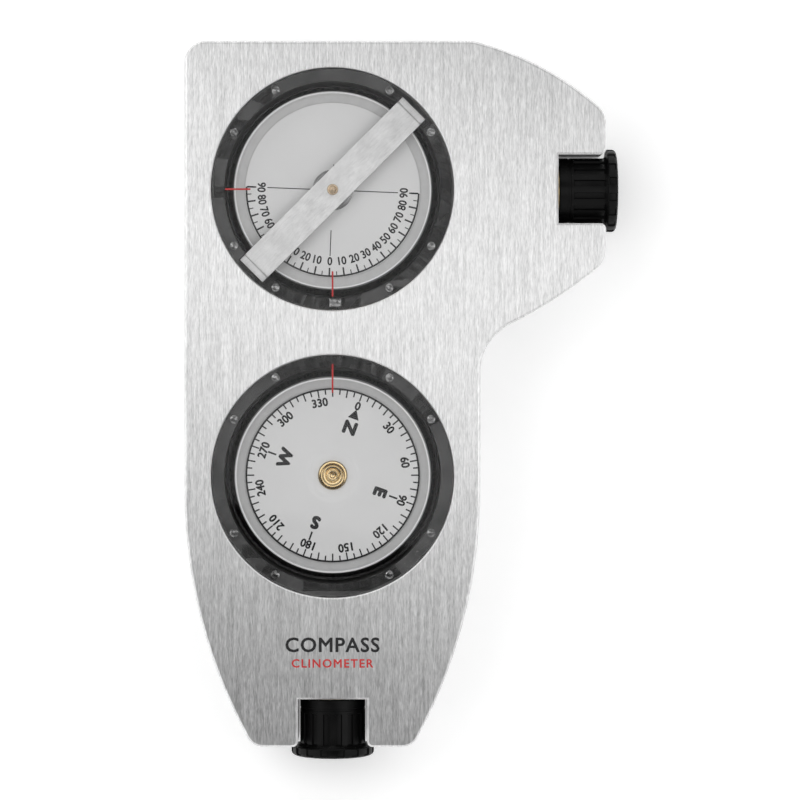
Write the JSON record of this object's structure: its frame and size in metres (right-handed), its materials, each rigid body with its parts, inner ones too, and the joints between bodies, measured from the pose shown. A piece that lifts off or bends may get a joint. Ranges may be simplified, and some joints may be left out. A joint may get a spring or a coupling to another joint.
{
  "type": "geology compass",
  "caption": "Sighting compass and clinometer with liquid capsules one above the other in a flat metal block, each read through a ribbed focusing eyepiece.",
  "frame": {"origin": "middle of the bounding box on the flat back face", "axes": "+Z out of the dials, +Y towards the clinometer end, +X towards the clinometer's eyepiece"},
  "size_m": [0.0738, 0.1222, 0.015],
  "materials": {
    "brushed_aluminium": "brushed along Y, clear anodised",
    "bar_aluminium": "fine brushed",
    "clear_acrylic": "clear, polished",
    "smoked_acrylic": "smoke grey, moulded",
    "grey_plastic": "satin",
    "drum_plastic": "satin",
    "dial_sheet": "printed, satin silver grey",
    "jewel": "polished synthetic ruby",
    "brass": "turned",
    "steel": "ground",
    "magnet_alloy": "ground alloy",
    "black_plastic": "moulded, satin gloss",
    "seal_rubber": "smooth",
    "lens_glass": "polished"
  },
  "bodies": {
    "block": {"body_block": "brushed_aluminium", "clinometer_cup": "smoked_acrylic", "clinometer_cover": "clear_acrylic", "clinometer_fill_plug": "grey_plastic", "clinometer_lower_jewel": "jewel", "clinometer_bridge": "bar_aluminium", "clinometer_pivot_screw": "brass", "compass_cup": "smoked_acrylic", "compass_cover": "clear_acrylic", "compass_fill_plug": "grey_plastic", "compass_pivot_post": "steel", "side_guide_sleeve": "brass", "side_o_ring": "seal_rubber", "side_key_pin": "steel", "lower_guide_sleeve": "brass", "lower_o_ring": "seal_rubber", "lower_key_pin": "steel"},
    "clinometer_wheel": {"clinometer_drum": "drum_plastic", "clinometer_dial": "dial_sheet", "clinometer_hub": "grey_plastic", "clinometer_arbor": "steel", "clinometer_counterweight": "brass"},
    "compass_card": {"compass_card_drum": "drum_plastic", "compass_dial": "dial_sheet", "compass_hub": "brass", "compass_cup_jewel": "jewel"},
    "compass_needle": {"compass_magnet": "magnet_alloy", "compass_magnet_carrier": "brass"},
    "side_lens_carriage": {"side_lens_cell": "black_plastic", "side_eye_lens": "lens_glass", "side_lens_retainer": "black_plastic"},
    "side_focus": {"side_focus_ring": "black_plastic", "side_cell_clip": "steel"},
    "lower_lens_carriage": {"lower_lens_cell": "black_plastic", "lower_eye_lens": "lens_glass", "lower_lens_retainer": "black_plastic"},
    "lower_focus": {"lower_focus_ring": "black_plastic", "lower_cell_clip": "steel"}
  },
  "joints": [
    {"name": "clinometer_wheel_spin", "type": "hinge", "parent": "block", "child": "clinometer_wheel", "pos_m": [-0.01175, 0.03594, 0.0075], "axis": [0, 0, 1], "continuous": true},
    {"name": "compass_card_spin", "type": "hinge", "parent": "block", "child": "compass_card", "pos_m": [-0.01175, -0.01296, 0.0075], "axis": [0, 0, 1], "continuous": true},
    {"name": "needle_tilt", "type": "hinge", "parent": "compass_card", "child": "compass_needle", "pos_m": [-0.01175, -0.01296, 0.0064], "axis": [0.9397, -0.342, 0], "range_deg": [-10, 10]},
    {"name": "side_focus_travel", "type": "slide", "parent": "block", "child": "side_lens_carriage", "axis": [1, 0, 0], "range_m": [-0.0002, 0.0012]},
    {"name": "side_focus_turn", "type": "hinge", "parent": "side_lens_carriage", "child": "side_focus", "pos_m": [0.0348, 0.03594, 0.0075], "axis": [1, 0, 0], "range_deg": [-30, 180]},
    {"name": "lower_focus_travel", "type": "slide", "parent": "block", "child": "lower_lens_carriage", "axis": [0, -1, 0], "range_m": [-0.0002, 0.0012]},
    {"name": "lower_focus_turn", "type": "hinge", "parent": "lower_lens_carriage", "child": "lower_focus", "pos_m": [-0.01175, -0.059, 0.0075], "axis": [0, -1, 0], "range_deg": [-30, 180]}
  ],
  "couplings": [
    {"joint": "side_focus_turn", "follows": "side_focus_travel", "rad_per_m": 2618},
    {"joint": "lower_focus_turn", "follows": "lower_focus_travel", "rad_per_m": 2618}
  ]
}
